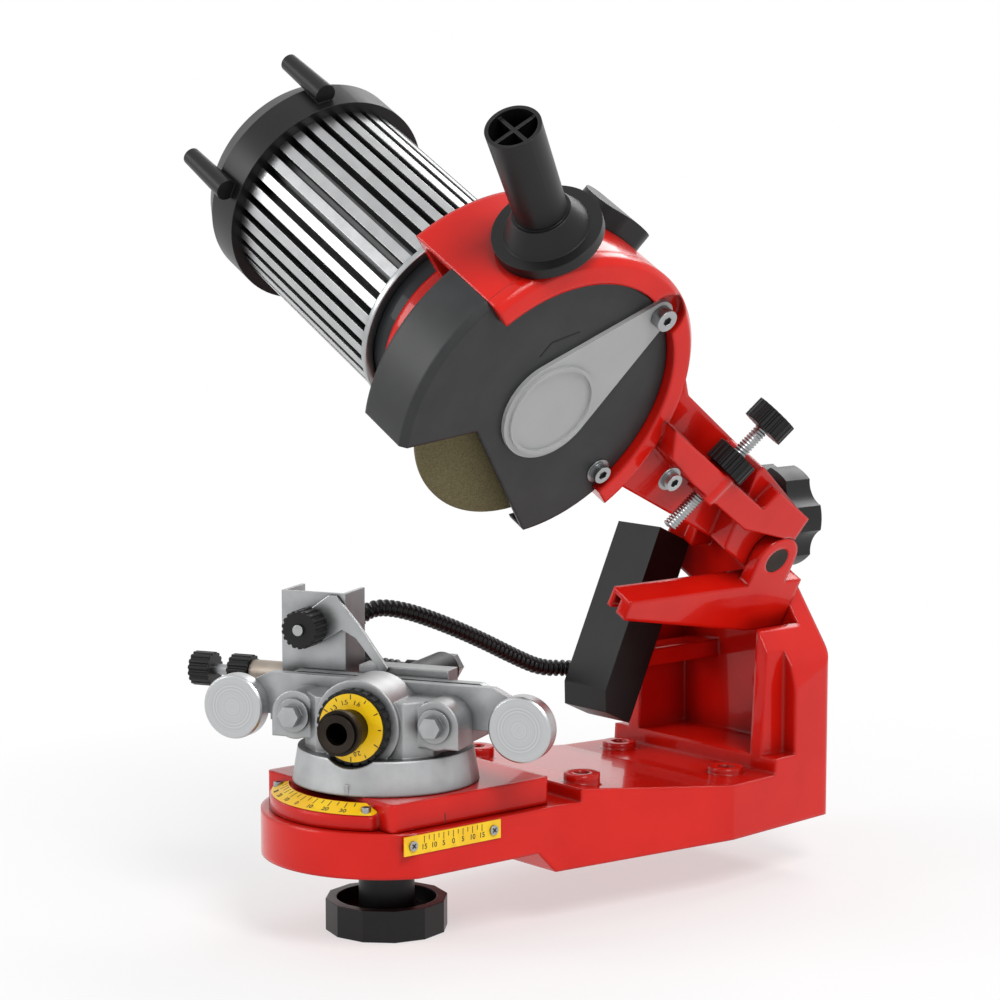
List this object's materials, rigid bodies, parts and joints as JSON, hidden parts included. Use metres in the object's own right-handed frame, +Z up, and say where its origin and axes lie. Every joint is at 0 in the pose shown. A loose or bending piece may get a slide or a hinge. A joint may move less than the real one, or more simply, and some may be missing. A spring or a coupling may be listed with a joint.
{
  "type": "saw chain bench grinder",
  "caption": "Bench grinder for saw chain: a motor head on a tilting arm above a swivelling hydraulic vise, on a red cast base with a rear column.",
  "frame": {"origin": "centre of the four bench bolt holes, on the bench plane under the base", "axes": "+Z up from the bench, +Y to the rear column, +X to the operator's right"},
  "size_m": [0.3302, 0.3683, 0.4669],
  "materials": {
    "red_paint": "gloss red enamel on cast aluminium",
    "black_plastic": "satin black moulding",
    "cast_aluminium": "blasted casting",
    "motor_grey": "dark grey satin",
    "steel": "ground and zinc plated",
    "dark_steel": "blackened",
    "scale_yellow": "yellow printed plate",
    "abrasive": "vitrified abrasive",
    "clear_plastic": "frosted clear moulding",
    "hose_rubber": "ribbed black sleeve"
  },
  "bodies": {
    "base": {"base_casting": "red_paint", "side_scale": "scale_yellow", "side_scale_screws": "steel", "pump_box": "black_plastic", "pump_cylinder": "steel", "hydraulic_hose": "hose_rubber"},
    "plunger": {"pump_plunger": "steel"},
    "saddle": {"saddle": "red_paint", "swivel_scale": "scale_yellow", "swivel_scale_screws": "steel"},
    "clamp": {"clamp_knob": "black_plastic", "clamp_stud": "steel"},
    "vise": {"vise_body": "cast_aluminium", "front_jaw": "steel", "rail_discs": "steel", "jaw_bolts": "steel", "slave_cylinder": "dark_steel", "slave_nut": "steel", "hose_elbow": "dark_steel"},
    "jaw": {"rear_jaw": "steel"},
    "dial": {"dial_ring": "scale_yellow", "dial_grip": "black_plastic", "dial_hub": "dark_steel", "dial_collar": "dark_steel"},
    "stop": {"stop_bracket": "steel", "stop_bush": "steel"},
    "adjuster": {"adjust_screw": "steel", "adjust_knob": "black_plastic"},
    "adjust_lock": {"adjust_lock_knob": "black_plastic"},
    "pawl": {"pawl_lever": "steel", "pawl_knob": "black_plastic", "pawl_pin": "steel"},
    "tilt": {"tilt_bracket": "red_paint", "pivot_pin": "dark_steel", "tilt_stud": "steel"},
    "tilt_lock": {"tilt_knob": "black_plastic"},
    "arm": {"arm_casting": "red_paint", "wheel_guard": "black_plastic", "guard_screw": "steel", "arm_screw": "steel", "cover_bolt": "steel", "motor_ring": "motor_grey", "motor_body": "cast_aluminium", "motor_cap": "black_plastic", "handle": "black_plastic", "switch_cover": "black_plastic"},
    "spindle": {"grinding_wheel": "abrasive", "spindle": "steel"},
    "cover": {"clear_cover": "clear_plastic"},
    "depth": {"depth_screw": "steel", "depth_knob": "black_plastic"},
    "depth_lock": {"depth_lock_knob": "black_plastic"}
  },
  "joints": [
    {"name": "saddle_slide", "type": "slide", "parent": "base", "child": "saddle", "axis": [0, 1, 0], "range_m": [-0.0157, 0.0157], "deforming": ["hydraulic_hose"]},
    {"name": "clamp_turn", "type": "hinge", "parent": "saddle", "child": "clamp", "pos_m": [0, -0.155, 0], "axis": [0, 0, 1], "continuous": true},
    {"name": "vise_turn", "type": "hinge", "parent": "saddle", "child": "vise", "pos_m": [0, -0.155, 0.051], "axis": [0, 0, 1], "range_deg": [-63, 7], "deforming": ["hydraulic_hose"]},
    {"name": "jaw_clamp", "type": "slide", "parent": "vise", "child": "jaw", "axis": [0.4695, -0.8829, 0], "range_m": [0, 0.002]},
    {"name": "dial_turn", "type": "hinge", "parent": "vise", "child": "dial", "pos_m": [0.01878, -0.19032, 0.086], "axis": [0.4695, -0.8829, 0], "range_deg": [-120, 120]},
    {"name": "stop_slide", "type": "slide", "parent": "vise", "child": "stop", "axis": [0.8829, 0.4695, 0], "range_m": [-0.006, 0.006]},
    {"name": "adjust_slide", "type": "slide", "parent": "stop", "child": "adjuster", "axis": [0.8829, 0.4695, 0], "range_m": [-0.006, 0.006]},
    {"name": "adjust_lock_turn", "type": "hinge", "parent": "stop", "child": "adjust_lock", "pos_m": [-0.09523, -0.18038, 0.098], "axis": [0.8829, 0.4695, 0], "continuous": true},
    {"name": "pawl_turn", "type": "hinge", "parent": "stop", "child": "pawl", "pos_m": [-0.04614, -0.17047, 0.1285], "axis": [-0.4695, 0.8829, 0], "range_deg": [-30, 0]},
    {"name": "head_tilt", "type": "hinge", "parent": "base", "child": "tilt", "pos_m": [0, 0.1105, 0.168], "axis": [0, 1, 0], "range_deg": [-6, 8]},
    {"name": "tilt_lock_turn", "type": "hinge", "parent": "tilt", "child": "tilt_lock", "pos_m": [0, 0.124, 0.168], "axis": [0, 1, 0], "continuous": true},
    {"name": "arm_lower", "type": "hinge", "parent": "tilt", "child": "arm", "pos_m": [0.03188, 0.082, 0.16594], "axis": [0.8788, 0, -0.4772], "range_deg": [0, 24], "stiffness_Nm_per_rad": 14, "springref_deg": -91.67},
    {"name": "wheel_spin", "type": "hinge", "parent": "arm", "child": "spindle", "pos_m": [0.08322, -0.123, 0.2605], "axis": [0.8788, 0, -0.4772], "continuous": true},
    {"name": "cover_swing", "type": "hinge", "parent": "arm", "child": "cover", "pos_m": [0.12193, -0.07187, 0.30036], "axis": [0.8788, 0, -0.4772], "range_deg": [-35, 12]},
    {"name": "depth_slide", "type": "slide", "parent": "arm", "child": "depth", "axis": [0.3899, 0.5764, 0.7181], "range_m": [0, 0.012]},
    {"name": "depth_lock_turn", "type": "hinge", "parent": "arm", "child": "depth_lock", "pos_m": [0.08476, 0.0227, 0.21932], "axis": [0.3899, 0.5764, 0.7181], "continuous": true},
    {"name": "plunger_slide", "type": "slide", "parent": "base", "child": "plunger", "axis": [0, -0.4226, -0.9063], "range_m": [0, 0.008]}
  ],
  "couplings": [
    {"joint": "jaw_clamp", "follows": "arm_lower", "m_per_rad": 0.004536},
    {"joint": "plunger_slide", "follows": "arm_lower", "m_per_rad": 0.018621}
  ]
}
